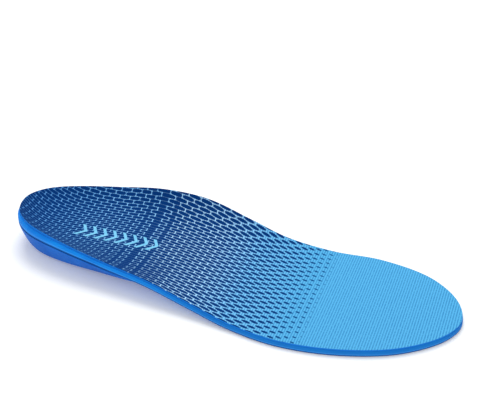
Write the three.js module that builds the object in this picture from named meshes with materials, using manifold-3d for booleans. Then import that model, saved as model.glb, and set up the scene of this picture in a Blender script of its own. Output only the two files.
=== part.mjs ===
// A cushioned insole for a right shoe: a knitted top cover on a full-length soft foam, on a firmer
// moulded base that makes the heel cup and the arch support, with a shock pad let into the underside of
// the heel and another into the underside of the forefoot.
// Millimetres. +X runs from heel to toe, +Y to the big-toe side (medial), +Z up. The origin is on the
// floor, under the middle of the insole.
import * as THREE from "three";
import { mergeVertices } from "three/addons/utils/BufferGeometryUtils.js";
import Module from "manifold-3d";

const wasm = await Module();
wasm.setup();

// ---- Overall sizes ----
const insoleLength = 280;
const drawnLength = 280; // every distance from the heel or toe end is given for this length
const ballWidth = 100; // across the ball of the foot
const rearWidth = 82; // across the rim, heel and arch
const cupHeight = 24.6; // highest point of the rim, outer side of the heel
const forefootHeight = 4.6; // whole stack in front of the arch

// ---- Layers ----
const coverThickness = 1;
const glueGap = 0.3; // between bonded layers, and round a pad in its pocket
const heelFoamThickness = 4.2; // foam under the heel seat
const heelBaseThickness = 4.4; // base under the heel seat
const heelEdgeHeight = 7.6; // cover and foam together, at the back of the cup's rim
const sideEdgeHeight = 4.1; // and along the rim beside the arch
const edgeStart = fromHeel(2); // the edge narrows from the one to the other between these two
const edgeEnd = fromHeel(83);
const heelFlare = 1.4; // the foam's wall stands this far out of the cover's edge at the heel
const foreFlare = 0.4; // and this far at the toes
const seamInset = 0.3; // the foam's lower corner is this far inside its widest line
const slopeStart = fromHeel(95); // the footbed falls from the heel seat to the forefoot between these two
const slopeEnd = fromToe(95);
const flankPower = 3.6; // how late the cup and arch flanks turn up: higher is flatter inside
// Top of the cover in the bottom of the heel cup: the whole stack of bonded layers there.
const heelSeatHeight = heelBaseThickness + glueGap + heelFoamThickness + glueGap + coverThickness;

// ---- Base ----
const baseFront = fromHeel(148); // front edge of the base
const baseEdge = 0.9; // thickness of its edge
const footInset = { heel: 10, arch: 21 }; // from the base's edge in to the flat that it stands on
const footStart = fromHeel(19); // the inset widens from the one to the other between these two
const footEnd = fromHeel(111);
const footPower = 2.2; // roundness of the flank above that flat
// From start on, the base's edge draws in under the foam, ever faster: by length at the base's front.
const lateralTaper = { start: fromHeel(74), length: 30 };
const medialTaper = { start: fromHeel(106), length: 13 };

// ---- Pads: ellipses let into the underside, flush with it ----
const heelPad = { x: fromHeel(42), y: 0, length: 46, width: 38, thickness: 2.4, turn: 0 };
const forePad = { x: fromToe(85), y: 1, length: 42, width: 74, thickness: 1.5, turn: -0.2 };

// ---- Outline ----
const heelFan = { x: fromHeel(40), y: 0 }; // the sections turn about this point round the heel
const toeFan = { x: fromToe(44), y: 4 }; // and about this one round the toes
const heelTip = { y: -1, rise: 0.94 };
const toeTip = { y: 8.4, rise: 0 };

// Behind the ball: distance from the heel end, then how far the rim is inside half the rear width on the
// medial and the lateral side, and its rise on each side as a share of the whole rise of the cup.
const rearStations = [
  [3.9, 30.2, 27.7, 0.855, 0.985],
  [9.4, 21.7, 18.8, 0.79, 1],
  [21.4, 12.5, 10.6, 0.73, 0.965],
  [46.4, 3.8, 4.7, 0.77, 0.84],
  [76, 0.1, 2.1, 0.955, 0.633],
  [106, -1.8, -0.1, 0.92, 0.47],
  [136, -0.4, -3.4, 0.595, 0.212],
  [161, -0.9, -6.9, 0.235, 0.04],
];
// From the ball on: distance from the toe end, and how far the rim is inside half the ball width.
const foreStations = [
  [90, 3.7, -0.4],
  [60, 0.5, 4.6],
  [30, 5.4, 17.5],
  [12, 16.9, 32.8],
  [3, 29.2, 46.1],
];

// ---- Mesh density ----
const stepsPerStation = 3;
const across = [0, 0.3, 0.52, 0.68, 0.8, 0.9, 0.96, 1]; // shares of the way from the middle to the rim

/** X of a distance from the heel end, stretched with the insole's length. */
function fromHeel(distance) {
  return (distance * insoleLength) / drawnLength - insoleLength / 2;
}

/** X of a distance from the toe end, stretched with the insole's length. */
function fromToe(distance) {
  return insoleLength / 2 - (distance * insoleLength) / drawnLength;
}

function rimHeight(rise) {
  return forefootHeight + (cupHeight - forefootHeight) * rise;
}

/** The edge of the cover as one closed curve: heel tip, medial side, toe tip, lateral side. */
function makeRim() {
  const medial = [];
  const lateral = [];
  for (const [distance, medialInset, lateralInset, medialRise, lateralRise] of rearStations) {
    const x = fromHeel(distance);
    medial.push(new THREE.Vector3(x, rearWidth / 2 - medialInset, rimHeight(medialRise)));
    lateral.push(new THREE.Vector3(x, lateralInset - rearWidth / 2, rimHeight(lateralRise)));
  }
  const halfBall = ballWidth / 2 - foreFlare;
  for (const [distance, medialInset, lateralInset] of foreStations) {
    const x = fromToe(distance) - foreFlare;
    medial.push(new THREE.Vector3(x, halfBall - medialInset, forefootHeight));
    lateral.push(new THREE.Vector3(x, lateralInset - halfBall, forefootHeight));
  }
  const heel = new THREE.Vector3(fromHeel(0) + heelFlare, heelTip.y, rimHeight(heelTip.rise));
  const toe = new THREE.Vector3(fromToe(0) - foreFlare, toeTip.y, rimHeight(toeTip.rise));
  return new THREE.CatmullRomCurve3([heel, ...medial, toe, ...lateral.reverse()], true, "centripetal");
}

const rim = makeRim();
const lastStation = rearStations.length + foreStations.length + 1; // the toe tip

/** 0 over the heel seat, 1 over the forefoot, with a smooth slope between. */
function forward(x) {
  return THREE.MathUtils.smoothstep(x, slopeStart, slopeEnd);
}

function blend(heelValue, foreValue, x) {
  return THREE.MathUtils.lerp(heelValue, foreValue, forward(x));
}

/** Cover and foam together at the rim: most at the back of the cup, least beside the arch. */
function edgeHeight(x) {
  const side = blend(sideEdgeHeight, forefootHeight, x);
  return THREE.MathUtils.lerp(heelEdgeHeight, side, THREE.MathUtils.smoothstep(x, edgeStart, edgeEnd));
}

/** The rim point and the middle point of one section, on the medial (side 1) or lateral (-1) side. */
function section(station, side) {
  const share = station / rim.points.length;
  const medial = rim.getPoint(share);
  const lateral = rim.getPoint((1 - share) % 1);
  const x = THREE.MathUtils.clamp((medial.x + lateral.x) / 2, heelFan.x, toeFan.x);
  const y = THREE.MathUtils.mapLinear(x, heelFan.x, toeFan.x, heelFan.y, toeFan.y);
  const middle = new THREE.Vector3(x, y, 0);
  return { edge: side > 0 ? medial : lateral, middle };
}

/** Outward direction in plan from the middle of a section to its rim. */
function outward({ edge, middle }) {
  return new THREE.Vector3(edge.x - middle.x, edge.y - middle.y, 0).normalize();
}

/** Top of the footbed: place is -1 on the lateral rim, 0 in the middle and 1 on the medial rim. */
function footbed(station, place) {
  const { edge, middle } = section(station, place);
  const point = middle.clone().lerp(edge, Math.abs(place));
  const seat = blend(heelSeatHeight, forefootHeight, middle.x);
  point.z = seat + (edge.z - seat) * Math.abs(place) ** flankPower;
  return point;
}

/** Underside of the foam, which flares out of the cover's edge and never reaches below the floor. */
function foamUnderside(station, place) {
  const here = section(station, place);
  const { edge, middle } = here;
  const flare = blend(heelFlare, foreFlare, edge.x) - seamInset;
  const corner = edge.clone().addScaledVector(outward(here), flare);
  const point = middle.clone().lerp(corner, Math.abs(place));
  const cornerHeight = Math.max(0, edge.z - edgeHeight(edge.x));
  const foreFoam = forefootHeight - coverThickness - glueGap;
  const foam = blend(heelFoamThickness, foreFoam, middle.x);
  const seat = blend(heelSeatHeight, forefootHeight, middle.x) - coverThickness - glueGap - foam;
  point.z = seat + (cornerHeight - seat) * Math.abs(place) ** flankPower;
  return point;
}

const nudge = 0.01; // half the step used to measure a slope, in stations and in places

/** The normal of a surface, measured just inside its own half. */
function normalOn(surface, station, place) {
  const along = surface(station + nudge, place).sub(surface(station - nudge, place));
  const over = surface(station, place + nudge).sub(surface(station, place - nudge));
  return along.cross(over).normalize();
}

/** A point of a surface moved down by depth along the normal. Both halves agree where they meet. */
function below(surface, station, place, depth) {
  const inner = THREE.MathUtils.clamp(station, nudge, lastStation - nudge);
  const share = THREE.MathUtils.clamp(Math.abs(place), nudge, 1 - nudge);
  const side = place < 0 ? -1 : 1;
  const normal = normalOn(surface, inner, side * share);
  const shared = Math.abs(place) < nudge || inner !== station;
  if (shared) normal.add(normalOn(surface, inner, -side * share)).normalize();
  return surface(station, place).addScaledVector(normal, -depth);
}

/** How far out the base reaches at a station, as a share of the way to the foam's corner. */
function baseReach(station, side) {
  const { edge, middle } = section(station, side);
  const taper = side > 0 ? medialTaper : lateralTaper;
  const drawnIn = taper.length * Math.max(0, (edge.x - taper.start) / (baseFront - taper.start)) ** 2;
  const halfWidth = Math.hypot(edge.x - middle.x, edge.y - middle.y);
  return 1 - drawnIn / halfWidth;
}

function baseTop(station, place) {
  return below(foamUnderside, station, place * baseReach(station, place), glueGap);
}

/** Underside of the base: flat on the floor, then a rounded flank up to the edge. */
function baseUnderside(station, place) {
  const point = baseTop(station, place);
  const edge = baseTop(station, Math.sign(place) || 1);
  const { middle } = section(station, place);
  const inward = Math.hypot(edge.x - point.x, edge.y - point.y);
  const widening = THREE.MathUtils.smoothstep(edge.x, footStart, footEnd);
  const drawn = THREE.MathUtils.lerp(footInset.heel, footInset.arch, widening);
  const inset = Math.min(drawn, 0.9 * Math.hypot(edge.x - middle.x, edge.y - middle.y));
  const climb = Math.max(0, 1 - inward / inset) ** footPower;
  point.z = Math.max(0, edge.z - baseEdge) * climb;
  return point;
}

/** Places across a section, lateral rim to medial rim. */
const places = [...across.slice(1).reverse().map((share) => -share), ...across];

/** Welds a list of triangles into one closed surface that faces outward. */
function weld(positions) {
  const loose = new THREE.BufferGeometry();
  loose.setAttribute("position", new THREE.Float32BufferAttribute(positions, 3));
  const merged = mergeVertices(loose, 1e-3);
  const faces = [];
  for (let i = 0; i < merged.index.count; i += 3) {
    const [a, b, c] = [0, 1, 2].map((corner) => merged.index.getX(i + corner));
    if (a !== b && b !== c && c !== a) faces.push(a, b, c);
  }
  merged.setIndex(faces);
  return merged;
}

/** Lofts closed sections, each a ring of the same number of points, into one body. */
function loft(rings, frontCap) {
  const positions = [];
  const addQuad = (a, b, c, d) => {
    for (const point of [a, b, c, a, c, d]) positions.push(point.x, point.y, point.z);
  };
  for (let i = 0; i + 1 < rings.length; i += 1) {
    const ring = rings[i];
    const next = rings[i + 1];
    for (let j = 0; j < ring.length; j += 1) {
      const k = (j + 1) % ring.length;
      addQuad(ring[j], next[j], next[k], ring[k]);
    }
  }
  if (frontCap) {
    const last = rings.at(-1);
    for (let j = 0; j + 1 < last.length / 2; j += 1) {
      const opposite = last.length - 1 - j;
      addQuad(last[j], last[opposite], last[opposite - 1], last[j + 1]);
    }
  }
  return weld(positions);
}

/** The stations of the sections, from the heel tip to the given last one. */
function stationsTo(last) {
  const count = Math.ceil(last * stepsPerStation);
  return Array.from({ length: count + 1 }, (_, i) => (i * last) / count);
}

/** One ring of a layer: its top from lateral to medial, its wall, its underside back, its other wall. */
function ring(station, top, underside, wall) {
  const upper = places.map((place) => top(station, place));
  const lower = places.map((place) => underside(station, place)).reverse();
  return [...upper, ...wall(station, 1), ...lower, ...wall(station, -1).reverse()];
}

function layer(top, underside, wall, last = lastStation) {
  const rings = stationsTo(last).map((station) => ring(station, top, underside, wall));
  return loft(rings, last < lastStation);
}

const plainWall = () => [];

/** The foam's bulging wall: two points on each side, a third of its height apart. */
function foamWall(station, side) {
  const here = section(station, side);
  const upper = below(footbed, station, side, coverThickness + glueGap);
  const lower = foamUnderside(station, side);
  const flare = blend(heelFlare, foreFlare, here.edge.x);
  const widest = here.edge.clone().addScaledVector(outward(here), flare);
  return [1 / 3, 2 / 3].map((share) => {
    return widest.clone().setZ(THREE.MathUtils.lerp(upper.z, lower.z, share));
  });
}

/** The station at which the middle of the sections reaches x. */
function stationAt(x) {
  let low = 0;
  let high = lastStation;
  for (let i = 0; i < 40; i += 1) {
    const half = (low + high) / 2;
    if (section(half, 1).middle.x < x) low = half;
    else high = half;
  }
  return low;
}

/** A pad, or with a gap the pocket that it sits in. */
function padBody(pad, gap) {
  const outline = new THREE.Shape();
  const length = pad.length / 2 + gap;
  const width = pad.width / 2 + gap;
  outline.absellipse(pad.x, pad.y, length, width, 0, 2 * Math.PI, false, pad.turn);
  const skirt = gap; // a pocket is cut from just under the floor, so that no skin is left
  const body = new THREE.ExtrudeGeometry(outline, {
    depth: pad.thickness + gap + skirt,
    bevelEnabled: false,
    curveSegments: 20,
  });
  return body.translate(0, 0, -skirt);
}

function toManifold(geometry) {
  const bare = geometry.clone().deleteAttribute("normal").deleteAttribute("uv");
  const merged = mergeVertices(bare, 1e-4);
  return new wasm.Manifold(new wasm.Mesh({
    numProp: 3,
    vertProperties: new Float32Array(merged.attributes.position.array),
    triVerts: new Uint32Array(merged.index.array),
  }));
}

function withPocket(geometry, pad) {
  const cut = toManifold(geometry).subtract(toManifold(padBody(pad, glueGap))).getMesh();
  const result = new THREE.BufferGeometry();
  result.setAttribute("position", new THREE.Float32BufferAttribute(cut.vertProperties, 3));
  result.setIndex([...cut.triVerts]);
  return result;
}

const topCover = layer(footbed, (station, place) => below(footbed, station, place, coverThickness), plainWall);
const foamTop = (station, place) => below(footbed, station, place, coverThickness + glueGap);
const cushionFoam = withPocket(layer(foamTop, foamUnderside, foamWall), forePad);
const supportBase = withPocket(layer(baseTop, baseUnderside, plainWall, stationAt(baseFront)), heelPad);

const insole = new THREE.Group();

function addPiece(name, geometry, color, roughness) {
  const material = new THREE.MeshStandardMaterial({ color, roughness, metalness: 0 });
  geometry.computeVertexNormals();
  const mesh = new THREE.Mesh(geometry, material);
  mesh.name = name;
  insole.add(mesh);
}

addPiece("top_cover", topCover, 0x3f8fd0, 0.9);
addPiece("cushion_foam", cushionFoam, 0x2278dc, 0.75);
addPiece("support_base", supportBase, 0x1c5fc4, 0.65);
addPiece("heel_pad", padBody(heelPad, 0), 0x7fc4ee, 0.5);
addPiece("forefoot_pad", padBody(forePad, 0), 0x7fc4ee, 0.5);

export default insole;
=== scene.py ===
# %% [markdown]
# # A cushioned insole, layer by layer
# The object is a moulded support insole for a right shoe. From the top down it is a knitted cover with a
# small printed mark, a layer of soft foam as long as the foot, a firmer base that makes the heel cup and the
# arch, and two shock pads let into the underside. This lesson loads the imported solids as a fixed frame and
# builds each layer again in the same place, as dense smooth surfaces with their own finishes.

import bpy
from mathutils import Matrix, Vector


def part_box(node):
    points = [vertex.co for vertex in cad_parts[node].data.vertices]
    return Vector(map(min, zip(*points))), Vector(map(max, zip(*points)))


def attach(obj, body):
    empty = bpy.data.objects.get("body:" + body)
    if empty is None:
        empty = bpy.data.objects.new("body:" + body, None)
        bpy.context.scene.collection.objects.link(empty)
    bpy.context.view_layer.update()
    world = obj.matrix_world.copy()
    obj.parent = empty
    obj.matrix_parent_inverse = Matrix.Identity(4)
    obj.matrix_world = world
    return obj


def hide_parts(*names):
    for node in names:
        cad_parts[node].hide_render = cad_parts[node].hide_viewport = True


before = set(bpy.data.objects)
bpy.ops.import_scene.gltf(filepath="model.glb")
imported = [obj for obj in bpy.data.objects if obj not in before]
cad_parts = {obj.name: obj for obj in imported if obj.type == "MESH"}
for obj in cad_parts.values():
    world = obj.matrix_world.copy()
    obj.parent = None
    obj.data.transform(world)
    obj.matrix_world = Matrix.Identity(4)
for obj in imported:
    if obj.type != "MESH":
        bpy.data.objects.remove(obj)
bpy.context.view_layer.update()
print("CAD nodes:", sorted(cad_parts))

# %% The libraries that the lesson uses
import math

import bmesh
import bpy
import numpy as np
from mathutils import Matrix, Vector

MM = 0.001  # lengths are worked out in millimetres and scaled to metres when a mesh is made

# %% [markdown]
# ## The camera
# A small product camera looks down at the insole from the outer side of the foot, about a third of the way up
# from the table, with a mild telephoto lens. It is placed by the point that it looks at and by its bearing,
# height and distance from there, because those four are easier to read than a matrix.

# %% Place the camera
CAMERA_BEARING = math.radians(23.35)  # round from the outer side towards the toes
CAMERA_HEIGHT = math.radians(31.06)  # above the horizon
CAMERA_ROLL = math.radians(0.716)
CAMERA_DISTANCE = 732.6 * MM
CAMERA_TARGET = Vector((-23.42, 84.88, 0)) * MM

back = Vector((
    math.sin(CAMERA_BEARING) * math.cos(CAMERA_HEIGHT),
    -math.cos(CAMERA_BEARING) * math.cos(CAMERA_HEIGHT),
    math.sin(CAMERA_HEIGHT),
))
level = Vector((math.cos(CAMERA_BEARING), math.sin(CAMERA_BEARING), 0))
upright = back.cross(level)
camera_x = math.cos(CAMERA_ROLL) * level + math.sin(CAMERA_ROLL) * upright
camera_y = math.cos(CAMERA_ROLL) * upright - math.sin(CAMERA_ROLL) * level

camera_data = bpy.data.cameras.new("product_camera")
camera_data.sensor_width = 36
camera_data.lens = 78.99
camera_data.clip_start = 0.01
camera_data.clip_end = 50
camera = bpy.data.objects.new("product_camera", camera_data)
bpy.context.scene.collection.objects.link(camera)
camera.matrix_world = Matrix.Translation(CAMERA_TARGET + back * CAMERA_DISTANCE) @ Matrix(
    (camera_x, camera_y, back)
).transposed().to_4x4()
bpy.context.scene.camera = camera
print("camera at", [round(v, 3) for v in camera.matrix_world.translation])

# %% [markdown]
# ## The floor and the light
# The insole lies on a white sweep under a large softbox that stands behind it, so that its soft shadow falls
# towards the camera. A pale sky fills the rest. The softbox is wide for its distance: a small lamp
# would give the foam a hard shadow edge.

# %% Build the floor, the softbox and the sky
FLOOR_SIZE = 6.0
FLOOR_COLOR = (0.93, 0.935, 0.92, 1)
FLOOR_GLOW = 0.13  # the sweep is lit from below as well, which keeps shadows pale
SKY_STRENGTH = 0.66
SOFTBOX_SIZE = 0.9
SOFTBOX_POWER = 11.5
SOFTBOX_PLACE = Vector((-0.3, 0.6, 1.2))
FILL_SIZE = 1.2
FILL_POWER = 3.0
FILL_PLACE = Vector((0.35, -1.1, 0.75))


def floor_mesh(name, half):
    """A flat square: the four corners at plus and minus half, at height zero."""
    mesh = bpy.data.meshes.new(name)
    corners = [(-half, -half, 0), (half, -half, 0), (half, half, 0), (-half, half, 0)]
    mesh.from_pydata(corners, [], [(0, 1, 2, 3)])
    return mesh


def softbox(name, place, size, power):
    """Adds a square area light at place that faces the middle of the insole."""
    data = bpy.data.lights.new(name, "AREA")
    data.size = size
    data.energy = power
    light = bpy.data.objects.new(name, data)
    bpy.context.scene.collection.objects.link(light)
    light.location = place
    light.rotation_euler = place.to_track_quat("Z", "Y").to_euler()


floor = bpy.data.objects.new("floor", floor_mesh("floor", FLOOR_SIZE / 2))
bpy.context.scene.collection.objects.link(floor)
floor_material = bpy.data.materials.new("white_sweep")
floor_material.use_nodes = True
floor_surface = floor_material.node_tree.nodes["Principled BSDF"]
floor_surface.inputs["Base Color"].default_value = FLOOR_COLOR
floor_surface.inputs["Roughness"].default_value = 0.9
floor_surface.inputs["Specular IOR Level"].default_value = 0.1
floor_surface.inputs["Emission Color"].default_value = (1, 1, 1, 1)
floor_surface.inputs["Emission Strength"].default_value = FLOOR_GLOW
floor.data.materials.append(floor_material)

softbox("softbox", SOFTBOX_PLACE, SOFTBOX_SIZE, SOFTBOX_POWER)
softbox("fill", FILL_PLACE, FILL_SIZE, FILL_POWER)

sky = bpy.data.worlds.new("pale_sky")
sky.use_nodes = True
sky.node_tree.nodes["Background"].inputs["Color"].default_value = (1, 1, 1, 1)
sky.node_tree.nodes["Background"].inputs["Strength"].default_value = SKY_STRENGTH
bpy.context.scene.world = sky
bpy.context.scene.view_settings.view_transform = "Standard"

# %% [markdown]
# ## The sizes
# Every layer follows one outline, the rim of the cover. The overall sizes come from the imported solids, and
# the rest repeats what the solids were drawn with: how thick the layers are, where the footbed slopes down
# from the heel seat to the flat forefoot, and a table of points along the rim.

# %% Read the overall sizes and repeat the drawn ones
foam_low, foam_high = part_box("cushion_foam")
cover_low, cover_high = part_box("top_cover")
base_low, base_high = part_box("support_base")

LENGTH = (foam_high.x - foam_low.x) / MM
CUP_HEIGHT = cover_high.z / MM
BASE_FRONT = base_high.x / MM
BALL_WIDTH = 100.0
REAR_WIDTH = 82.0
FOREFOOT_HEIGHT = 4.6

COVER = 1.0  # thickness of the cover
GLUE = 0.3  # gap that the solids leave for a bond
SEAT_HEIGHT = 10.2  # top of the cover in the bottom of the heel cup
HEEL_FOAM = 4.2
HEEL_EDGE = 7.6  # cover and foam together, at the back of the cup's rim
SIDE_EDGE = 4.1  # and along the rim beside the arch
EDGE_SLOPE = (-138.0, -57.0)  # the edge narrows from the one to the other between these two
HEEL_FLARE = 1.4  # the foam's wall stands this far out of the cover's edge at the heel
FORE_FLARE = 0.4
SEAM_INSET = 0.3  # the foam's lower corner is this far inside its widest line
SLOPE = (-45.0, 45.0)
FLANK_POWER = 3.6
BASE_EDGE = 0.9
FOOT_INSET = (10.0, 21.0)  # from the base's edge in to its flat foot, at the heel and beside the arch
FOOT_SLOPE = (-121.0, -29.0)
FOOT_POWER = 2.2
TAPER_START = (-34.0, -66.0)  # inner side, outer side
TAPER_LENGTH = (13.0, 30.0)

HEEL_END = -LENGTH / 2
TOE_END = LENGTH / 2
FAN_X = (HEEL_END + 40, TOE_END - 44)  # the sections turn about these two points
FAN_Y = (0.0, 4.0)
print(f"insole {LENGTH:.1f} long, cup {CUP_HEIGHT:.1f} high, base ends at x = {BASE_FRONT:.1f}")

# %% [markdown]
# ## The rim
# A shoemaker's outline is a few measured points joined by a fair curve. Here the points go once round
# the foot: heel tip, inner side, toe tip, outer side. A spline that spaces its bends by the square root of
# the distance between points passes through all of them without loops, however unevenly they stand.

# %% Join the rim's points with one closed curve
REAR_POINTS = np.array([  # from the heel end, inner inset, outer inset, inner rise, outer rise
    [3.9, 30.2, 27.7, 0.855, 0.985],
    [9.4, 21.7, 18.8, 0.79, 1],
    [21.4, 12.5, 10.6, 0.73, 0.965],
    [46.4, 3.8, 4.7, 0.77, 0.84],
    [76, 0.1, 2.1, 0.955, 0.633],
    [106, -1.8, -0.1, 0.92, 0.47],
    [136, -0.4, -3.4, 0.595, 0.212],
    [161, -0.9, -6.9, 0.235, 0.04],
])
FORE_POINTS = np.array([  # from the toe end, inner inset, outer inset
    [90, 3.7, -0.4],
    [60, 0.5, 4.6],
    [30, 5.4, 17.5],
    [12, 16.9, 32.8],
    [3, 29.2, 46.1],
])


def rim_points():
    """The points of one side are mirrored half widths minus their insets; heights go from the forefoot's to
    the cup's by the rise."""
    half_ball = BALL_WIDTH / 2 - FORE_FLARE
    sides = []
    for side, inset, rise in ((1, 1, 3), (-1, 2, 4)):
        rear_x = HEEL_END + REAR_POINTS[:, 0]
        rear_y = side * (REAR_WIDTH / 2 - REAR_POINTS[:, inset])
        rear_z = FOREFOOT_HEIGHT + (CUP_HEIGHT - FOREFOOT_HEIGHT) * REAR_POINTS[:, rise]
        fore_x = TOE_END - FORE_FLARE - FORE_POINTS[:, 0]
        fore_y = side * (half_ball - FORE_POINTS[:, inset])
        fore_z = np.full_like(fore_x, FOREFOOT_HEIGHT)
        rear = np.column_stack([rear_x, rear_y, rear_z])
        fore = np.column_stack([fore_x, fore_y, fore_z])
        sides.append(np.vstack([rear, fore]))
    heel_height = FOREFOOT_HEIGHT + (CUP_HEIGHT - FOREFOOT_HEIGHT) * 0.94
    heel = [[HEEL_END + HEEL_FLARE, -1, heel_height]]
    toe = [[TOE_END - FORE_FLARE, 8.4, FOREFOOT_HEIGHT]]
    return np.vstack([heel, sides[0], toe, sides[1][::-1]])


def closed_spline(points, turn):
    """Centripetal Catmull-Rom: between two points, the cubic whose slope at each end comes from the points on
    both sides, every difference divided by the square root of its own distance. turn runs 0 to 1 round."""
    place = np.asarray(turn) * len(points)
    first = np.floor(place).astype(int)
    w = (place - first)[..., None]
    p = [points[(first + k) % len(points)] for k in (-1, 0, 1, 2)]
    d = [np.linalg.norm(p[k + 1] - p[k], axis=-1, keepdims=True) ** 0.5 for k in range(3)]
    step = p[2] - p[1]
    leave = ((p[1] - p[0]) / d[0] - (p[2] - p[0]) / (d[0] + d[1]) + step / d[1]) * d[1]
    arrive = (step / d[1] - (p[3] - p[1]) / (d[1] + d[2]) + (p[3] - p[2]) / d[2]) * d[1]
    return p[1] + leave * w + (3 * step - 2 * leave - arrive) * w**2 + (leave + arrive - 2 * step) * w**3


RIM = rim_points()


def even_turns(count):
    """Turns round the rim whose points are evenly spaced along it, the same on both sides of the foot: the
    running length of the two sides is averaged and read backwards at even steps."""
    fine = np.linspace(0, 0.5, 4001)
    lengths = [
        np.linalg.norm(np.diff(closed_spline(RIM, side), axis=0), axis=1) for side in (fine, 1 - fine)
    ]
    run = np.concatenate([[0], np.cumsum(np.mean(lengths, axis=0))])
    half = np.interp(np.linspace(0, run[-1], count + 1), run, fine)
    half[0] = 0
    half[-1] = 0.5
    return np.concatenate([half, 1 - half[-2:0:-1]])


print("rim points", len(RIM), "length of the rim in mm",
      round(float(np.linalg.norm(np.diff(closed_spline(RIM, even_turns(500)), axis=0), axis=1).sum()), 1))

# %% [markdown]
# ## The footbed and the surfaces under it
# A section of the insole runs from the middle line out to the rim. Across most of the foot it is square to
# the middle line, and round the heel and the toes the sections fan out like a hand of cards. Every surface
# here is a function of two numbers: the turn round the rim, and the share of the way from the middle (0) to
# the rim (1). The bed is nearly flat in the middle and turns up late and fast, which is what a cup does.

# %% Write the surfaces as functions
def unit(vectors):
    """Each vector divided by its own length."""
    return vectors / np.linalg.norm(vectors, axis=-1, keepdims=True)


def smoothstep(low, high, x):
    """0 below low, 1 above high, and t squared times (3 - 2t) between."""
    t = np.clip((x - low) / (high - low), 0, 1)
    return t * t * (3 - 2 * t)


def blend(heel_value, fore_value, x):
    """The heel's value, easing into the forefoot's along the slope of the footbed."""
    return heel_value + (fore_value - heel_value) * smoothstep(*SLOPE, x)


def section(turn):
    """Rim point and middle point of a section: the middle's x is the mean of the two sides, held between the
    fans' points, and its y runs straight from one fan's point to the other's."""
    edge = closed_spline(RIM, turn)
    opposite = closed_spline(RIM, 1 - np.asarray(turn))
    x = np.clip((edge[..., 0] + opposite[..., 0]) / 2, *FAN_X)
    middle = np.stack([x, np.interp(x, FAN_X, FAN_Y), np.zeros_like(x)], axis=-1)
    return edge, middle


def outward(edge, middle):
    """Direction in plan from the middle to the rim."""
    flat = (edge - middle) * [1, 1, 0]
    return unit(flat)


def half_width(turn):
    """Distance in plan from the middle to the rim."""
    edge, middle = section(turn)
    return np.linalg.norm((edge - middle)[..., :2], axis=-1)


def footbed(turn, share):
    """Top of the cover: height = seat + (rim - seat) times share to the flank power."""
    edge, middle = section(turn)
    point = middle + (edge - middle) * share[..., None]
    seat = blend(SEAT_HEIGHT, FOREFOOT_HEIGHT, middle[..., 0])
    point[..., 2] = seat + (edge[..., 2] - seat) * share**FLANK_POWER
    return point


def edge_height(x):
    """Cover and foam together at the rim: most at the back of the cup, least beside the arch."""
    side = blend(SIDE_EDGE, FOREFOOT_HEIGHT, x)
    return HEEL_EDGE + (side - HEEL_EDGE) * smoothstep(*EDGE_SLOPE, x)


def foam_corner(turn):
    """Lower outer corner of the foam: the rim pushed out by the flare less the seam's inset, and down by the
    height of the edge, but never under the floor."""
    edge, middle = section(turn)
    flare = blend(HEEL_FLARE, FORE_FLARE, edge[..., 0]) - SEAM_INSET
    corner = edge + outward(edge, middle) * flare[..., None]
    corner[..., 2] = np.maximum(0, edge[..., 2] - edge_height(edge[..., 0]))
    return corner


def foam_underside(turn, share):
    """Underside of the foam: from its height in the middle to its outer corner by the flank power."""
    edge, middle = section(turn)
    corner = foam_corner(turn)
    point = middle + (corner - middle) * share[..., None]
    foam = blend(HEEL_FOAM, FOREFOOT_HEIGHT - COVER - GLUE, middle[..., 0])
    seat = blend(SEAT_HEIGHT, FOREFOOT_HEIGHT, middle[..., 0]) - COVER - GLUE - foam
    point[..., 2] = seat + (corner[..., 2] - seat) * share**FLANK_POWER
    return point


NUDGE = 0.01  # half the step that a slope is measured with, as a share of the section
TURN_NUDGE = 0.0004


def normals(surface, turn, share):
    """Upward normals: the cross product of the steps along the rim and across the section. At the middle the
    two sides are averaged, so that both halves of the foot agree there."""
    inner = np.clip(share, NUDGE, 1 - NUDGE)

    def one_side(t):
        along = surface(t + TURN_NUDGE, inner) - surface(t - TURN_NUDGE, inner)
        over = surface(t, inner + NUDGE) - surface(t, inner - NUDGE)
        return unit(np.cross(along, over))

    here = one_side(turn)
    both = unit(here + one_side(1 - turn))
    return np.where((share < NUDGE)[..., None], both, here)


def below(surface, turn, share, depth):
    """The surface moved down by depth along its own normals."""
    return surface(turn, share) - normals(surface, turn, share) * depth


def under_cover(turn, share, depth):
    """The footbed moved down by depth, drawn in so that its outer end stays under the rim: a die cuts the
    stack straight down."""
    rim_normal = normals(footbed, turn, np.ones_like(turn))
    lean = np.linalg.norm(rim_normal[..., :2], axis=-1)
    reach = 1 - lean * depth / half_width(turn)
    return below(footbed, turn, share * reach, depth)


turn_test = np.array([0.0, 0.1, 0.2, 0.35, 0.5])
print("rim heights in mm at five turns:", np.round(footbed(turn_test, np.ones(5))[:, 2], 2))

# %% [markdown]
# ## Carrying a half-section round the rim
# A layer of the insole is one closed skin: out over its top, round its edge and back along its underside.
# That half-section is a row of points, and carrying it once round the rim makes a grid. Its inner ends meet
# those of the opposite side on the middle line, where the doubles are merged, so the skin is closed
# with no cap. Corners are rounded with a short curve, because nothing cut from foam has a knife edge.

# %% Make the helpers that turn grids into meshes
def rounded(before, corner, after, radius, count=5):
    """A quadratic curve round a corner: it leaves radius before it and arrives radius after it."""
    start = corner + unit(before - corner) * radius
    end = corner + unit(after - corner) * radius
    t = np.linspace(0, 1, count)[None, :, None]
    curve = (1 - t) ** 2 * start[:, None] + 2 * t * (1 - t) * corner[:, None] + t**2 * end[:, None]
    return curve


def crowded(count, power):
    """Shares from 0 to 1 that crowd towards 1: one minus the rest of the way to a power."""
    return 1 - (1 - np.linspace(0, 1, count)) ** power


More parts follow.
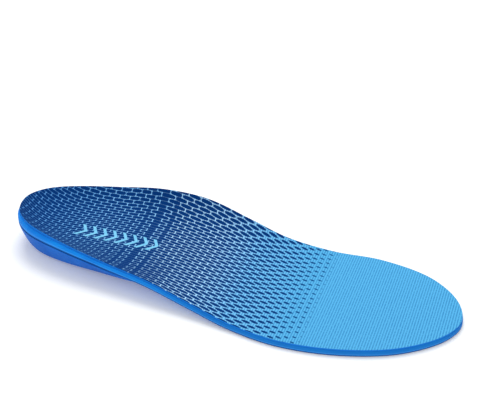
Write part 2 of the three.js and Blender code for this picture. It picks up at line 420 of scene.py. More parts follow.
def carried_mesh(name, rows, closed=True):
    """A mesh from half-sections: each quad joins two neighbours in one row with the same two in the next
    row. Coinciding points are merged afterwards."""
    count, width = rows.shape[:2]
    i = np.arange(count if closed else count - 1)[:, None]
    k = np.arange(width - 1)[None, :]
    j = (i + 1) % count
    corners = [i * width + k, j * width + k, j * width + k + 1, i * width + k + 1]
    quads = np.stack(np.broadcast_arrays(*corners), axis=-1).reshape(-1, 4)
    mesh = bpy.data.meshes.new(name)
    mesh.from_pydata(rows.reshape(-1, 3) * MM, [], quads)
    return mesh


def set_attribute(mesh, name, values):
    """One number per vertex, under a name that a material can read."""
    attribute = mesh.attributes.new(name, "FLOAT", "POINT")
    attribute.data.foreach_set("value", np.ascontiguousarray(values, dtype=np.float32).ravel())


def set_uv(mesh, name, plane):
    """A UV map with one pair of numbers per vertex, copied to every face corner that uses it."""
    layer = mesh.uv_layers.new(name=name)
    corner = np.zeros(len(mesh.loops), dtype=np.int64)
    mesh.loops.foreach_get("vertex_index", corner)
    layer.data.foreach_set("uv", plane.reshape(-1, 2)[corner].astype(np.float32).ravel())


def close_up(mesh):
    """Merges coinciding points, drops the faces that vanish, and counts the edges that are still open."""
    work = bmesh.new()
    work.from_mesh(mesh)
    bmesh.ops.remove_doubles(work, verts=work.verts, dist=1e-6)
    bmesh.ops.dissolve_degenerate(work, edges=work.edges, dist=1e-7)
    still_open = sum(1 for edge in work.edges if not edge.is_manifold)
    volume = work.calc_volume(signed=True)
    work.to_mesh(mesh)
    work.free()
    mesh.shade_smooth()
    print(f"{mesh.name}: {len(mesh.polygons)} faces, {still_open} open edges, {volume * 1e6:.1f} cm3")
    return mesh


def piece(name, mesh, node):
    """An object for a finished mesh that stands for a CAD node and rides with the whole insole."""
    made = bpy.data.objects.new(name, mesh)
    bpy.context.scene.collection.objects.link(made)
    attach(made, "root")
    if node:
        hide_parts(node)
    return made


# %% [markdown]
# ## The knitted cover
# The cover is a one millimetre ply: a two-tone knitted face bonded to a thin foam, laid over the moulded
# foam and cut off with it. It could be a cloth simulation, but it is glued down all over, so it has exactly
# the footbed's shape. The flat cloth's own coordinates go into a UV map, because the pattern was knitted
# flat: across a steep flank the cloth has a little more length than the plan shows.

# %% Build the cover
COVER_ROWS = 340
COVER_CORNER = 0.3
COVER_LOWER_CORNER = 0.15
COVER_TOP_SHARES = 64
COVER_UNDER_SHARES = 14
CROWDING = 1.5  # how strongly the points of a section crowd towards the rim, where it bends most
CLOTH_STRETCH = 0.5  # how much of the flank's extra length the pattern keeps


def cloth_plane(rows):
    """Flat cloth position of each row of points: the plan direction from the middle, times the plan distance
    plus a share of what the running length along the section adds to it."""
    start = rows[:, :1, :2]
    plan = rows[..., :2] - start
    reach = np.linalg.norm(plan, axis=-1)
    steps = np.linalg.norm(np.diff(rows, axis=1), axis=-1)
    run = np.concatenate([np.zeros((len(rows), 1)), np.cumsum(steps, axis=1)], axis=1)
    length = reach + CLOTH_STRETCH * (run - reach)
    direction = plan / np.maximum(reach, 1e-9)[..., None]
    return start + direction * length[..., None]


turns = even_turns(COVER_ROWS)
edge_share = 1 - COVER_CORNER / half_width(turns)
top_shares = crowded(COVER_TOP_SHARES, CROWDING)
turn_grid = np.repeat(turns[:, None], len(top_shares), axis=1)
top_rows = footbed(turn_grid, top_shares[None, :] * edge_share[:, None])

under_shares = crowded(COVER_UNDER_SHARES, CROWDING)[::-1]
turn_grid = np.repeat(turns[:, None], len(under_shares), axis=1)
under_rows = under_cover(turn_grid, under_shares[None, :] * edge_share[:, None], COVER)

one = np.ones_like(turns)
upper_corner = footbed(turns, one)
lower_corner = under_cover(turns, one, COVER)
lower_corner[:, :2] = upper_corner[:, :2]
upper_round = rounded(top_rows[:, -1], upper_corner, lower_corner, COVER_CORNER)
lower_round = rounded(upper_corner, lower_corner, under_rows[:, 0], COVER_LOWER_CORNER, 3)
cover_rows = np.concatenate([top_rows, upper_round[:, 1:], lower_round, under_rows[:, 1:]], axis=1)

cover_mesh = carried_mesh("knit_cover", cover_rows)
top_count = len(top_shares) + 2
is_cut = np.zeros(cover_rows.shape[:2])
is_cut[:, top_count:] = 1
set_attribute(cover_mesh, "cut_edge", is_cut)
set_uv(cover_mesh, "cloth", cloth_plane(cover_rows))
close_up(cover_mesh)

knit_cover = piece("knit_cover", cover_mesh, "top_cover")

# %% [markdown]
# ## The soft foam
# Under the cover lies the cushioning foam. Its wall is what shows as the bright band all round: at the heel
# it bulges a little past the cover, where the mould squeezed it, and its lower corner is rounded over a
# fine groove. Foam could be swollen with a cloth simulation, but moulded foam keeps the mould's shape, so
# the wall's curve is written down instead.

# %% Build the foam
BOND = 0.04  # the bonded layers all but touch where they show
FOAM_ROUND = 0.9
FOAM_WALL = 14
FOAM_TOP_SHARES = 16
FOAM_UNDER_SHARES = 40
FOAM_CROWDING = 1.6
FOAM_ROUND_POINTS = 7
BULGE_DEPTH = 0.5  # the wall is widest from half way down
BULGE_POWER = 2.4


def pad_loop(pad, grow, count=160):
    """Outline of an elliptical pad, grown by a gap: cosine times half the length, sine times half the width,
    turned by the pad's angle and moved to its place."""
    angle = np.linspace(2 * np.pi, 0, count, endpoint=False)
    along = np.cos(angle) * (pad["length"] / 2 + grow)
    over = np.sin(angle) * (pad["width"] / 2 + grow)
    c, s = math.cos(pad["turn"]), math.sin(pad["turn"])
    return np.column_stack([pad["x"] + along * c - over * s, pad["y"] + along * s + over * c])


def cut_pocket(made, pad):
    """Cuts a pad's pocket with a straight-sided plug, from just under the floor to the pocket's roof."""
    loop = pad_loop(pad, GLUE)
    count = len(loop)
    lower = np.column_stack([loop, np.full(count, -1.0)])
    upper = np.column_stack([loop, np.full(count, pad["thickness"] + GLUE)])
    faces = [[i + count, (i + 1) % count + count, (i + 1) % count, i] for i in range(count)]
    faces += [list(range(count)), list(range(count, 2 * count))[::-1]]
    plug_mesh = bpy.data.meshes.new("plug")
    plug_mesh.from_pydata(np.vstack([lower, upper]) * MM, [], faces)
    plug = bpy.data.objects.new("plug", plug_mesh)
    bpy.context.scene.collection.objects.link(plug)
    cutter = made.modifiers.new("pocket", "BOOLEAN")
    cutter.operation = "DIFFERENCE"
    cutter.solver = "MANIFOLD"
    cutter.object = plug
    shaped = made.evaluated_get(bpy.context.evaluated_depsgraph_get())
    cut_mesh = bpy.data.meshes.new_from_object(shaped)
    made.modifiers.clear()
    made.data = cut_mesh
    bpy.data.objects.remove(plug)
    print(f"{made.name}: {len(cut_mesh.polygons)} faces after cutting the pocket")


HEEL_PAD = {"x": -98.0, "y": 0.0, "length": 46.0, "width": 38.0, "thickness": 2.4, "turn": 0.0}
FORE_PAD = {"x": 55.0, "y": 1.0, "length": 42.0, "width": 74.0, "thickness": 1.5, "turn": -0.2}

edge, middle = section(turns)
direction = outward(edge, middle)
wall_top = lower_corner - [0, 0, BOND]
wall_end = foam_corner(turns) + direction * SEAM_INSET
wall_height = wall_top[:, 2] - wall_end[:, 2]
foam_round = np.minimum(FOAM_ROUND, 0.3 * wall_height)[:, None]
flare = blend(HEEL_FLARE, FORE_FLARE, edge[:, 0])
down = np.linspace(0, 1, FOAM_WALL)[None, :] * (1 - foam_round / wall_height[:, None])
bulge = 1 - (1 - np.clip(down / BULGE_DEPTH, 0, 1)) ** BULGE_POWER
wall_rows = wall_top[:, None] + direction[:, None] * (flare[:, None] * bulge)[..., None]
wall_rows[..., 2] -= wall_height[:, None] * down

foam_top_shares = crowded(FOAM_TOP_SHARES, CROWDING)
turn_grid = np.repeat(turns[:, None], len(foam_top_shares), axis=1)
foam_top = under_cover(turn_grid, np.repeat(foam_top_shares[None], len(turns), axis=0), COVER + BOND)
foam_top[:, -1] = wall_top

round_share = 1 - foam_round / half_width(turns)[:, None]
foam_under_shares = crowded(FOAM_UNDER_SHARES, FOAM_CROWDING)[::-1]
turn_grid = np.repeat(turns[:, None], len(foam_under_shares), axis=1)
foam_under = foam_underside(turn_grid, foam_under_shares[None, :] * round_share)
foot_round = rounded(wall_rows[:, -1], wall_end, foam_under[:, 0], foam_round, FOAM_ROUND_POINTS)
foam_rows = np.concatenate([foam_top, wall_rows[:, 1:-1], foot_round, foam_under], axis=1)

foam_mesh = carried_mesh("foam_layer", foam_rows)
wall_place = np.zeros(foam_rows.shape[:2])
wall_first = foam_top.shape[1]
wall_last = wall_first + FOAM_WALL - 2
wall_place[:, wall_first - 1 : wall_last] = np.linspace(0, 0.8, wall_last - wall_first + 1)
wall_place[:, wall_last : wall_last + FOAM_ROUND_POINTS] = np.linspace(0.84, 1, FOAM_ROUND_POINTS)
wall_place[:, wall_last + FOAM_ROUND_POINTS :] = 1
set_attribute(foam_mesh, "down_the_wall", wall_place)
close_up(foam_mesh)
foam_layer = piece("foam_layer", foam_mesh, "cushion_foam")
cut_pocket(foam_layer, FORE_PAD)

# %% [markdown]
# ## The firm base
# The base is a shell of firmer foam that wraps the heel and reaches under the arch. It is thin at its edge,
# where it meets the soft foam along a fine seam, stands on a flat foot, and rounds up between the two.
# Towards the front its edges draw in and it thins out to nothing, so its top and underside simply meet
# there.

# %% Build the base
BASE_ROWS = 300
FRONT_ROUND = 5.0  # length over which the front edge thins out
BASE_CORNER = 0.35
BASE_SHARES = 44


def base_reach(turn):
    """How far out the base reaches, as a share: one less what its edge has drawn in, which grows with the
    square of the distance from the taper's start."""
    edge, middle = section(turn)
    inner_side = (np.asarray(turn) % 1) < 0.5
    start = np.where(inner_side, *TAPER_START)
    length = np.where(inner_side, *TAPER_LENGTH)
    drawn = length * np.maximum(0, (edge[..., 0] - start) / (BASE_FRONT - start)) ** 2
    return 1 - drawn / half_width(turn)


def base_top(turn, share):
    """The foam's underside less the glue gap, out to the base's own reach."""
    return below(foam_underside, turn, share * base_reach(turn), GLUE)


def base_underside(turn, share):
    """Flat on the floor, then up a rounded flank: the edge's height times the closeness to the edge to the
    foot power. The front thins out along a quarter circle."""
    point = base_top(turn, share)
    edge = base_top(turn, np.ones_like(share))
    inward = np.linalg.norm((edge - point)[..., :2], axis=-1)
    inset = FOOT_INSET[0] + (FOOT_INSET[1] - FOOT_INSET[0]) * smoothstep(*FOOT_SLOPE, edge[..., 0])
    inset = np.minimum(inset, 0.9 * np.linalg.norm((edge - section(turn)[1])[..., :2], axis=-1))
    climb = np.maximum(0, 1 - inward / inset) ** FOOT_POWER
    low = np.maximum(0, edge[..., 2] - BASE_EDGE) * climb
    return thinned(turn, point, low)


def thinned(turn, point, low):
    """Moves the underside's height low up to the top as the section nears the front edge."""
    _, middle = section(turn)
    into = np.clip((middle[..., 0] - (BASE_FRONT - FRONT_ROUND)) / FRONT_ROUND, 0, 1)
    share = np.sqrt(np.maximum(0, 1 - into**2))
    result = point.copy()
    result[..., 2] = point[..., 2] + (low - point[..., 2]) * share
    return result


def base_turns(count):
    """Turns from the front edge on the inner side, back round the heel, to the front edge on the outer side,
    evenly spaced but closer where the front edge thins out."""
    fine = np.linspace(0, 0.5, 4001)
    x = section(fine)[1][:, 0]
    front = float(np.interp(BASE_FRONT + 1e-4, x, fine))
    all_turns = even_turns(count)
    inner = all_turns[(all_turns > 0) & (all_turns < front - 0.004)]
    tail = front - 0.006 * np.linspace(1, 0, 14)[1:] ** 1.8
    half = np.concatenate([inner, tail[tail > inner[-1]]])
    return np.concatenate([1 - half[::-1], [0.0], half])


base_at = base_turns(BASE_ROWS)
base_one = np.ones_like(base_at)
base_width = half_width(base_at) * base_reach(base_at)
corner_share = 1 - BASE_CORNER / base_width
# One list of shares serves both skins, so that they meet in front.
base_shares = crowded(BASE_SHARES, CROWDING)[None, :] * corner_share[:, None]
turn_grid = np.repeat(base_at[:, None], base_shares.shape[1], axis=1)
base_upper = base_top(turn_grid, base_shares)
base_lower = base_underside(turn_grid, base_shares)[:, ::-1]
base_lip = base_top(base_at, base_one)
base_heel = base_underside(base_at, base_one)
lip_height = np.linalg.norm(base_lip - base_heel, axis=-1, keepdims=True)
lip_radius = np.minimum(BASE_CORNER, 0.45 * lip_height) + 1e-6
wall_low = np.where(lip_height > 1e-6, base_heel, base_lip - [0, 0, 1e-6])
base_round = rounded(base_upper[:, -1], base_lip, wall_low, lip_radius)
heel_round = rounded(base_lip + [0, 0, 1e-6], base_heel, base_lower[:, 0], lip_radius)
base_rows = np.concatenate([base_upper[:, :-1], base_round, heel_round, base_lower[:, 1:]], axis=1)

base_mesh = close_up(carried_mesh("base_shell", base_rows, closed=False))
base_shell = piece("base_shell", base_mesh, "support_base")
cut_pocket(base_shell, HEEL_PAD)

# %% [markdown]
# ## The shock pads
# Two elliptical pads of springy foam are let into the underside, flush with it: one under the heel bone and
# one under the ball of the foot. Their undersides are moulded with shallow grooves in a honeycomb, which
# lets them squash evenly. The grooves are real dents: a point rises with its closeness to the line half way
# between its two nearest cell centres.

# %% Build the shock pads
PAD_ROUND = 0.5
GROOVE_DEPTH = 0.5
GROOVE_WIDTH = 1.1
CELL_PITCH = 5.2
PAD_SHARES = 61


def comb_groove(points, pad):
    """Honeycomb grooves: with the distances to the nearest and second nearest cell centre, the groove is
    full where they are equal and fades out when they differ by the groove's width."""
    step_x = CELL_PITCH * math.sqrt(3) / 2
    i, j = np.meshgrid(np.arange(-9, 10), np.arange(-9, 10), indexing="ij")
    centres = np.stack([i * step_x + pad["x"], (j + 0.5 * (i % 2)) * CELL_PITCH + pad["y"]], axis=-1)
    gaps = np.linalg.norm(points[..., None, :] - centres.reshape(-1, 2), axis=-1)
    gaps.partition(1, axis=-1)
    return 1 - smoothstep(0, GROOVE_WIDTH, gaps[..., 1] - gaps[..., 0])


def pad_rows(pad, angles, shares):
    """A half-section carried round the pad: its roof from the middle out, a rounded wall, and its grooved
    underside back to the middle. Grooves fade out before the edge."""
    rim = pad_loop(pad, 0.0, angles)
    centre = np.array([pad["x"], pad["y"]])
    plan = centre + (rim - centre)[:, None] * shares[None, :, None]
    roof_height = pad["thickness"]
    roof = np.dstack([plan, np.full(plan.shape[:2], roof_height)])
    fade = 1 - smoothstep(0.8, 0.9, shares)
    under = np.dstack([plan, GROOVE_DEPTH * fade * comb_groove(plan, pad)])
    rim_up = np.column_stack([rim, np.full(len(rim), roof_height)])
    rim_down = np.column_stack([rim, np.zeros(len(rim))])
    upper = rounded(roof[:, -2], rim_up, rim_down, PAD_ROUND)
    lower = rounded(rim_up, rim_down, under[:, -2], PAD_ROUND)
    return np.concatenate([roof[:, ::4], upper, lower, under[:, -2::-1]], axis=1)


shock_pads = []
for pad_name, node, pad, angles in (
    ("heel_shock_pad", "heel_pad", HEEL_PAD, 360),
    ("forefoot_shock_pad", "forefoot_pad", FORE_PAD, 480),
):
    pad_shares = np.linspace(0, 1, PAD_SHARES)
    mesh = close_up(carried_mesh(pad_name, pad_rows(pad, angles, pad_shares)))
    shock_pad = piece(pad_name, mesh, node)
    shock_pads.append(shock_pad)

# %% [markdown]
# ## The printed mark
# A heat-transfer film is pressed onto the cover over the heel seat. Here it is a plain row of chevrons that
# point to the toes. Each is a thin film with a thickness of its own, laid on the footbed, so that it
# catches the light as a print does.

# %% Build the printed mark
MARK_X = (-101.0, -46.0)
MARK_Y = (-5.0, -2.0)  # the row leans a little, as it follows the heel's own line
CHEVRONS = 8
CHEVRON_HALF = 6.2  # half its width across the foot
CHEVRON_SWEEP = 4.6  # how far its arms trail
CHEVRON_STROKE = 2.3
FILM = 0.16


def bed_height(points):
    """Height of the footbed over points in plan: straight sections, so the share is the distance from the
    middle over the half width on that side, and the rest is the footbed's formula."""
    turn = np.linspace(0.02, 0.45, 400)
    inner, _ = section(turn)
    outer, _ = section(1 - turn)
    mean_x = (inner[:, 0] + outer[:, 0]) / 2
    middle_y = np.interp(mean_x, FAN_X, FAN_Y)
    x = points[..., 0]
    y = points[..., 1] - np.interp(x, FAN_X, FAN_Y)
    inner_side = y > 0
    inner_half = np.interp(x, mean_x, inner[:, 1] - middle_y)
    outer_half = np.interp(x, mean_x, middle_y - outer[:, 1])
    half = np.where(inner_side, inner_half, outer_half)
    rim_z = np.where(inner_side, np.interp(x, mean_x, inner[:, 2]), np.interp(x, mean_x, outer[:, 2]))
    seat = blend(SEAT_HEIGHT, FOREFOOT_HEIGHT, x)
    return seat + (rim_z - seat) * (np.abs(y) / half) ** FLANK_POWER


def chevron_rows(start, arm_count=61):
    """One chevron as closed cross-sections carried along its arms: across runs -1 to 1 from the outer tip to
    the inner one, the stroke trails by the sweep times the distance from the point, and the film's section
    is a flat top with rounded shoulders."""
    across = np.linspace(-1, 1, arm_count)
    taper = np.minimum(1, (1 - np.abs(across)) * 12 + 0.15)
    bend = np.sqrt(across**2 + 0.004)
    shoulder = np.array([0, 0, 0.06, 0.16, 0.84, 0.94, 1, 1])
    lift = np.array([-0.04, 0.5, 0.92, 1, 1, 0.92, 0.5, -0.04])
    x = start[0] + CHEVRON_STROKE * shoulder[None, :] - CHEVRON_SWEEP * bend[:, None]
    y = start[1] + CHEVRON_HALF * across[:, None] + 0 * x
    plan = np.stack([x, y], axis=-1)
    z = bed_height(plan) + FILM * lift[None, :] * taper[:, None]
    return np.dstack([plan, z])


mark_vertices, mark_faces, offset = [], [], 0
steps = np.linspace(0, 1, CHEVRONS)
first_x = MARK_X[0] + CHEVRON_SWEEP
last_x = MARK_X[1] - CHEVRON_STROKE
for step in steps:
    start = (first_x + (last_x - first_x) * step, MARK_Y[0] + (MARK_Y[1] - MARK_Y[0]) * step)
    rows = chevron_rows(start)
    count, width = rows.shape[:2]
    i, k = np.meshgrid(np.arange(count - 1), np.arange(width), indexing="ij")
    n = (k + 1) % width
    quads = np.stack([i * width + k, i * width + n, (i + 1) * width + n, (i + 1) * width + k], axis=-1)
    mark_vertices.append(rows.reshape(-1, 3))
    mark_faces += (quads.reshape(-1, 4) + offset).tolist()
    mark_faces.append([offset + k for k in range(width)][::-1])
    mark_faces.append([offset + (count - 1) * width + k for k in range(width)])
    offset += rows.shape[0] * rows.shape[1]
mark_mesh = bpy.data.meshes.new("printed_mark")
mark_mesh.from_pydata(np.vstack(mark_vertices) * MM, [], mark_faces)
close_up(mark_mesh)
printed_mark = piece("printed_mark", mark_mesh, None)

# %% [markdown]
# ## Writing materials as formulas
# A pattern in a material is a formula too. This small helper adds one shader node per call and gives back
# its output, so that the formulas below read nearly as they would on paper.

# %% Make the shader helper
class Shader:
    """A material whose nodes are added by short calls. Each call returns the new node's output."""

    def __init__(self, name, **constants):
        """Starts the material, and sets the surface's constant values on its own sockets."""
        self.material = bpy.data.materials.new(name)
        self.material.use_nodes = True
        self.tree = self.material.node_tree
        self.surface = self.tree.nodes["Principled BSDF"]
        for socket, value in constants.items():
            self.surface.inputs[socket.replace("_", " ")].default_value = value

    def set(self, socket, value):
        """Links an output to an input, or writes a plain number into it."""
        if isinstance(value, bpy.types.NodeSocket):
            self.tree.links.new(value, socket)
        elif value is not None:
            socket.default_value = value

    def node(self, kind, values=(), output=0, **settings):
        """Any node: its settings by name, and its inputs in order."""
        made = self.tree.nodes.new("ShaderNode" + kind)
        for name, value in settings.items():
            setattr(made, name, value)
        for socket, value in zip(made.inputs, values):
            self.set(socket, value)
        return made.outputs[output]

    def math(self, operation, *values):
        """One arithmetic step."""
        return self.node("Math", values, operation=operation)

    def step(self, value, low, high, start=0.0, end=1.0):
        """Eases from start at low to end at high, and stays there outside."""
        return self.node("MapRange", (value, low, high, start, end), interpolation_type="SMOOTHSTEP")

    def mix(self, share, first, second, blend_type="MIX"):
        """The first colour where share is 0, and the second where it is 1."""
        made = self.tree.nodes.new("ShaderNodeMix")
        made.data_type = "RGBA"
        made.blend_type = blend_type
        for name, value in (("Factor_Float", share), ("A_Color", first), ("B_Color", second)):
            self.set(next(s for s in made.inputs if s.identifier == name), value)
        return next(s for s in made.outputs if s.identifier == "Result_Color")

    def ramp(self, value, stops, output=0):
        """Colours at places from 0 to 1, with straight mixes between them."""
        made = self.tree.nodes.new("ShaderNodeValToRGB")
        self.set(made.inputs[0], value)
        elements = made.color_ramp.elements
        while len(elements) < len(stops):
            elements.new(0.5)
        for element, (place, color) in zip(elements, stops):
            element.position = place
            element.color = (*color, 1)
        return made.outputs[output]

    def noise(self, vector, scale, detail=2.0, roughness=0.5):
        """Soft noise from 0 to 1: scale counts its blobs in one unit of the vector."""
        made = self.tree.nodes.new("ShaderNodeTexNoise")
        self.set(made.inputs["Vector"], vector)
        self.set(made.inputs["Scale"], scale)
        self.set(made.inputs["Detail"], detail)
        self.set(made.inputs["Roughness"], roughness)
        return made.outputs[0]

    def bump(self, height, strength, distance, after=None):
        """Tilts the surface as if it were raised by height times distance, in metres."""
        made = self.tree.nodes.new("ShaderNodeBump")
        made.inputs["Strength"].default_value = strength
        made.inputs["Distance"].default_value = distance
        self.set(made.inputs["Height"], height)
        self.set(made.inputs["Normal"], after)
        return made.outputs[0]

    def finish(self, color, roughness=None, normal=None):
        """Feeds the surface."""
        self.set(self.surface.inputs["Base Color"], color)
        self.set(self.surface.inputs["Roughness"], roughness)
        self.set(self.surface.inputs["Normal"], normal)
        return self.material


def srgb(red, green, blue):
    """A colour as a paint chart gives it, 0 to 255, turned into the linear values that light adds up in."""
    c = np.array([red, green, blue]) / 255
    return tuple(np.where(c <= 0.04045, c / 12.92, ((c + 0.055) / 1.055) ** 2.4).tolist())


print("sky blue in linear values:", np.round(srgb(85, 172, 228), 3))

# %% [markdown]
# ## The knitted pattern
# The cover is a two-colour jacquard knit: navy cells in a light blue lattice. Behind the arch the cells are
# long bricks and the lattice is a thin meandering yarn. Towards the toes they shrink to diamonds, then
# dots, and the light yarn takes over. One formula covers all of it: cells stand on a staggered grid, each
# is a superellipse, and its length, height and roundness come from a ramp along the foot.

# %% Write the knit material
COLUMN_FORE = 4.2  # distance between columns of cells, mm
COLUMN_HEEL = 3.5
ROW = 2.32
ROW_LEAN = 0.13  # rows lean outwards to both ends from the place where the cloth was pulled into the cup
LEAN_MIDDLE = 60.0  # that place, behind the middle of the insole
LEAN_ROUND = 15.0
CLOTH_SKEW = 0.11  # the cloth was laid a little askew: its columns lean towards the toes on the outer side
BREAK_FRONT = -56.65  # the columns pause between these two, where the machine changes pattern
BREAK_BACK = -58.45
COLUMNS_BEHIND = 24.0  # columns from the break to the heel end, and in all
COLUMNS = 50.0
CELL_LENGTHS = [  # column counted from the break, length and height of a cell in mm, roundness of its corners
    (-24, 7.9, 2.17, 3.6),
    (2, 7.9, 2.15, 3.4),
    (6, 8.0, 2.14, 2.8),
    (10, 7.8, 2.13, 2.3),
    (14, 7.2, 2.07, 1.9),
    (18, 6.1, 1.97, 1.8),
    (21, 5.1, 1.84, 1.8),
    (23, 4.2, 1.66, 1.9),
    (24.5, 3.3, 1.44, 2.0),
    (25.5, 2.6, 1.22, 2.0),
]

knit = Shader("knit_cover", Specular_IOR_Level=0.02, Sheen_Weight=0.01, Sheen_Roughness=0.5)
cloth_uv = knit.node("UVMap", uv_map="cloth")
drift = knit.noise(cloth_uv, 0.06, 1.0)
shake = knit.noise(cloth_uv, 0.5, 1.0)
split = knit.tree.nodes.new("ShaderNodeSeparateXYZ")
knit.set(split.inputs[0], cloth_uv)
skewed = knit.math("MULTIPLY_ADD", split.outputs["Y"], CLOTH_SKEW, split.outputs["X"])
along = knit.math("ADD", skewed, knit.math("MULTIPLY_ADD", shake, 0.5, -0.25))
from_pull = knit.math("ADD", split.outputs["X"], LEAN_MIDDLE)
lean = knit.math("SQRT", knit.math("MULTIPLY_ADD", from_pull, from_pull, LEAN_ROUND**2))
leaning = knit.math("MULTIPLY_ADD", lean, ROW_LEAN, split.outputs["Y"])
over = knit.math("ADD", leaning, knit.math("MULTIPLY_ADD", drift, 1.2, -0.6))

in_front = knit.math("MAXIMUM", knit.math("SUBTRACT", along, BREAK_FRONT), 0.0)
behind = knit.math("MINIMUM", knit.math("SUBTRACT", along, BREAK_BACK), 0.0)
front_part = knit.math("DIVIDE", in_front, COLUMN_FORE)
back_part = knit.math("DIVIDE", behind, COLUMN_HEEL)
column = knit.math("SUBTRACT", knit.math("ADD", front_part, back_part), 0.5)
row = knit.math("DIVIDE", over, ROW)

place = knit.math("DIVIDE", knit.math("ADD", column, COLUMNS_BEHIND), COLUMNS)
shape_stops = [
    ((n + COLUMNS_BEHIND) / COLUMNS, (length / 2 / COLUMN_FORE, height / 2 / ROW, power / 4))
    for n, length, height, power in CELL_LENGTHS
]
shape = knit.tree.nodes.new("ShaderNodeSeparateColor")
knit.set(shape.inputs[0], knit.ramp(place, shape_stops))
half_length, half_height = shape.outputs[0], shape.outputs[1]
power = knit.math("MULTIPLY", shape.outputs[2], 4.0)

even_x = knit.math("PINGPONG", column, 1.0)
even_y = knit.math("PINGPONG", row, 1.0)
odd_x = knit.math("SUBTRACT", 1.0, even_x)
odd_y = knit.math("SUBTRACT", 1.0, even_y)


def oval(x, y):
    """Superellipse: x over the half length to the power, plus y over the half height to the power."""
    first = knit.math("POWER", knit.math("DIVIDE", x, half_length), power)
    second = knit.math("POWER", knit.math("DIVIDE", y, half_height), power)
    return knit.math("POWER", knit.math("ADD", first, second), knit.math("DIVIDE", 1.0, power))


nearest = knit.math("MINIMUM", oval(even_x, even_y), oval(odd_x, odd_y))
cell = knit.math("MULTIPLY", knit.step(nearest, 1.04, 0.95), knit.step(column, 27.2, 26.5))

pair = knit.math("PINGPONG", knit.math("SUBTRACT", column, 0.5), 1.0)
in_pair = knit.step(pair, 0.66, 0.58)
everywhere = knit.math("MAXIMUM", knit.step(column, 0.5, 4.5), knit.step(column, -3.0, -6.0, 0.3, 0.8))
line = knit.math("MAXIMUM", in_pair, everywhere)
# The light yarn sits deeper on the outer side of the heel.
outer_side = knit.step(split.outputs["Y"], -34.0, -4.0, 0.55, 1.0)
line = knit.math("MULTIPLY", line, knit.math("MAXIMUM", outer_side, knit.step(column, 1.0, 7.0)))

STITCH_LENGTH = 1.02
STITCH_WIDTH = 0.7
stitch_x = knit.math("SINE", knit.math("MULTIPLY", split.outputs["X"], 2 * math.pi / STITCH_LENGTH))
stitch_y = knit.math("SINE", knit.math("MULTIPLY", split.outputs["Y"], 2 * math.pi / STITCH_WIDTH))
stitch = knit.math("MULTIPLY_ADD", knit.math("MULTIPLY", stitch_x, stitch_y), 0.5, 0.5)
RIB_PITCH = 1.5  # the fine ribs between the cells, which show where the cells end
RIB_SKEW = 0.1  # the ribs lean a little off the columns
RIB_BREAKS = 0.9  # places in one millimetre where a rib can thin out
rib_place = knit.math("MULTIPLY_ADD", split.outputs["Y"], RIB_SKEW, split.outputs["X"])
rib = knit.math("SINE", knit.math("MULTIPLY", rib_place, 2 * math.pi / RIB_PITCH))
rib_breaks = knit.step(knit.noise(cloth_uv, RIB_BREAKS, 2.0), 0.3, 0.6, 0.4, 1.0)
rib = knit.math("MULTIPLY", knit.math("MULTIPLY_ADD", rib, 0.5, 0.5), rib_breaks)

light_yarn = knit.ramp(place, [
    (0.0, srgb(84, 146, 212)),
    (0.2, srgb(122, 190, 244)),
    (0.46, srgb(146, 208, 252)),
    (0.54, srgb(178, 224, 253)),
    (0.68, srgb(172, 220, 252)),
    (0.8, srgb(120, 196, 242)),
    (0.97, srgb(90, 182, 231)),
])
light_yarn = knit.mix(knit.math("MULTIPLY", rib, 0.72), light_yarn, (*srgb(26, 104, 174), 1))
navy_yarn = knit.mix(stitch, (*srgb(2, 38, 98), 1), (*srgb(8, 66, 134), 1))
front_fade = knit.step(column, 21.0, 28.0, 0.0, 0.5)
cell_color = knit.mix(front_fade, navy_yarn, (*srgb(38, 120, 176), 1))
line_color = knit.mix(line, navy_yarn, light_yarn)
face = knit.mix(cell, line_color, cell_color)
cut = knit.node("Attribute", output=2, attribute_name="cut_edge")
cover_color = knit.mix(cut, face, (*srgb(28, 118, 214), 1))

relief = knit.math("MULTIPLY_ADD", rib, 0.25, knit.math("MULTIPLY", stitch, 0.25))
relief = knit.math("SUBTRACT", relief, knit.math("MULTIPLY", cell, 0.5))
knit_normal = knit.bump(relief, 0.6, 0.0003)
knit_roughness = knit.step(cell, 0.0, 1.0, 0.78, 0.9)
knit_cover.data.materials.append(knit.finish(cover_color, knit_roughness, knit_normal))
print("knit cover:", len(knit.tree.nodes), "nodes")

# %% [markdown]
# ## The foams
# Both foams are moulded, so they have a skin: matt, with a fine pebble from the mould and a few tiny pits
# where a bubble broke. The soft foam is a bright blue, the firm base is deeper and smoother, and the pads
# are pale. The pebble and the pits are noise in the object's own coordinates.

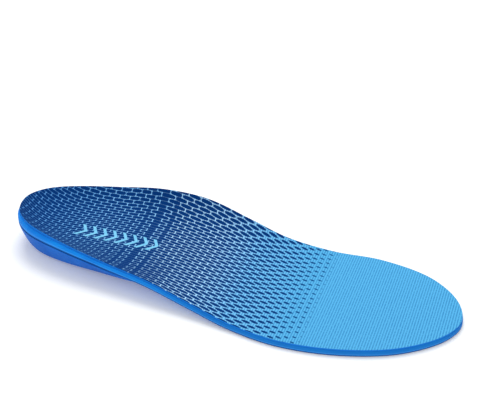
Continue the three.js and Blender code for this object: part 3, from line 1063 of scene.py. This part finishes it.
# %% Write the foam materials
def foam_material(name, color, shade, grain, pit_share, roughness, bump_height, seam=False):
    """Moulded foam: its colour drifts between two shades, its skin is noise, and pits are the peaks of a
    finer noise, dented by the bump and painted darker as painted shade. With seam set, painted shade darkens
    the colour towards the toes, and the wall gets a pale painted highlight line and then a dark line of
    painted shade towards its rounded lower corner."""
    foam = Shader(name, Specular_IOR_Level=0.12)
    position = foam.node("TexCoord", output=3)
    cloud = foam.noise(position, 60.0, 3.0)
    pebble = foam.noise(position, grain, 3.0, 0.6)
    bubbles = foam.noise(position, grain * 0.7, 1.0)
    pit = foam.step(bubbles, 0.68, 0.76, 0.0, pit_share)
    base = foam.mix(foam.step(cloud, 0.35, 0.65), (*color, 1), (*shade, 1))
    base = foam.mix(foam.step(pebble, 0.3, 0.7, 0.0, 0.35), base, (*shade, 1))
    # painted shade: the pits are painted darker than the foam around them
    base = foam.mix(pit, base, (*srgb(12, 60, 140), 1))
    if seam:
        # painted shade: the foam's colour darkens towards the toes
        ends = foam.tree.nodes.new("ShaderNodeSeparateXYZ")
        foam.set(ends.inputs[0], position)
        base = foam.mix(foam.step(ends.outputs["X"], -0.1, 0.04, 0.0, 0.8), base, (*srgb(16, 112, 194), 1))
        place = foam.node("Attribute", output=2, attribute_name="down_the_wall")
        # painted highlight: a pale line on the wall just above its rounded lower corner
        painted_highlight = foam.math("MULTIPLY", foam.step(place, 0.5, 0.72, 0.0, 0.3), foam.step(place, 0.84, 0.78))
        base = foam.mix(painted_highlight, base, (*srgb(90, 176, 250), 1))
        # painted shade: a dark line over the wall's rounded lower corner, where it turns under
        painted_corner_shade = foam.math("MULTIPLY", foam.step(place, 0.79, 0.85), foam.step(place, 1.0, 0.985, 0.0, 0.7))
        base = foam.mix(painted_corner_shade, base, (*srgb(6, 48, 120), 1))
    height = foam.math("SUBTRACT", pebble, foam.math("MULTIPLY", pit, 0.8))
    rough = foam.step(pebble, 0.3, 0.7, roughness, roughness + 0.12)
    return foam.finish(base, rough, foam.bump(height, 0.5, bump_height))


foam_layer.data.materials.clear()
foam_layer.data.materials.append(
    foam_material("soft_foam", srgb(14, 142, 240), srgb(8, 124, 226), 1600.0, 0.5, 0.62, 0.00012, seam=True)
)
base_shell.data.materials.clear()
base_shell.data.materials.append(
    foam_material("firm_foam", srgb(24, 108, 204), srgb(16, 94, 190), 2200.0, 0.25, 0.55, 0.00008)
)
for shock_pad in shock_pads:
    shock_pad.data.materials.append(
        foam_material("shock_pad", srgb(120, 190, 232), srgb(104, 176, 222), 1400.0, 0.2, 0.45, 0.00006)
    )

film = Shader("printed_film", Specular_IOR_Level=0.4)
film_position = film.node("TexCoord", output=3)
film_cloud = film.step(film.noise(film_position, 900.0, 2.0), 0.35, 0.65)
film_tone = film.mix(film_cloud, (*srgb(112, 198, 236), 1), (*srgb(92, 184, 226), 1))
printed_mark.data.materials.append(
    film.finish(film_tone, 0.45, film.bump(film.noise(film_position, 1300.0, 2.0), 0.4, 0.0001))
)
print("materials:", sorted(m.name for m in bpy.data.materials if m.users))
